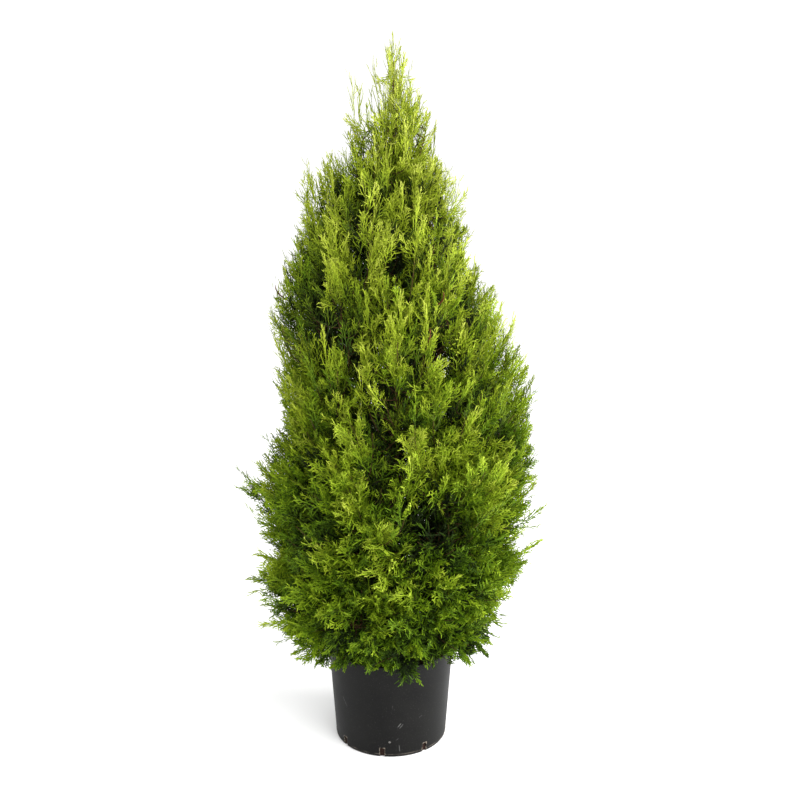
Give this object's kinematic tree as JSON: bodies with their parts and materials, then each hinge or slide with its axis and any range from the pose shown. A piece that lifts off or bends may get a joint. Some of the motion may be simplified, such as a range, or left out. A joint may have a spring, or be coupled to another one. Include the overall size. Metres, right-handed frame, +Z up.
{
  "type": "potted evergreen shrub",
  "caption": "Dense flame-shaped evergreen with upright scale-leaf plumes round a single trunk, growing in a round tapered black plastic nursery pot.",
  "frame": {"origin": "centre of the pot's flat underside", "axes": "+Z up along the trunk, -Y towards the side that the picture shows, +X to the right of that view"},
  "size_m": [0.7528, 0.7188, 1.727],
  "materials": {
    "pot_plastic": "matte black moulded plastic with a few pale scuffs",
    "potting_mix": "dark crumbly potting mix",
    "bark": "red-brown stringy bark",
    "foliage": "fine yellow-green scale leaves, deeper green low down"
  },
  "bodies": {
    "root": {"pot": "pot_plastic", "soil": "potting_mix", "trunk": "bark", "bough_upper_1": "bark", "bough_upper_2": "bark", "bough_upper_3": "bark", "bough_upper_4": "bark", "bough_upper_5": "bark", "bough_middle_1": "bark", "bough_middle_2": "bark", "bough_middle_3": "bark", "bough_middle_4": "bark", "bough_middle_5": "bark", "bough_middle_6": "bark", "bough_waist_1": "bark", "bough_waist_2": "bark", "bough_waist_3": "bark", "bough_waist_4": "bark", "bough_waist_5": "bark", "bough_waist_6": "bark", "bough_skirt_1": "bark", "bough_skirt_2": "bark", "bough_skirt_3": "bark", "bough_skirt_4": "bark", "bough_skirt_5": "bark", "bough_skirt_6": "bark", "mass_leader": "foliage", "mass_crest_1": "foliage", "mass_crest_2": "foliage", "mass_crest_3": "foliage", "mass_crest_4": "foliage", "mass_shoulder_1": "foliage", "mass_shoulder_2": "foliage", "mass_shoulder_3": "foliage", "mass_shoulder_4": "foliage", "mass_shoulder_5": "foliage", "mass_upper_1": "foliage", "mass_upper_2": "foliage", "mass_upper_3": "foliage", "mass_upper_4": "foliage", "mass_upper_5": "foliage", "mass_middle_1": "foliage", "mass_middle_2": "foliage", "mass_middle_3": "foliage", "mass_middle_4": "foliage", "mass_middle_5": "foliage", "mass_middle_6": "foliage", "mass_waist_1": "foliage", "mass_waist_2": "foliage", "mass_waist_3": "foliage", "mass_waist_4": "foliage", "mass_waist_5": "foliage", "mass_waist_6": "foliage", "mass_skirt_1": "foliage", "mass_skirt_2": "foliage", "mass_skirt_3": "foliage", "mass_skirt_4": "foliage", "mass_skirt_5": "foliage", "mass_skirt_6": "foliage"}
  },
  "joints": []
}
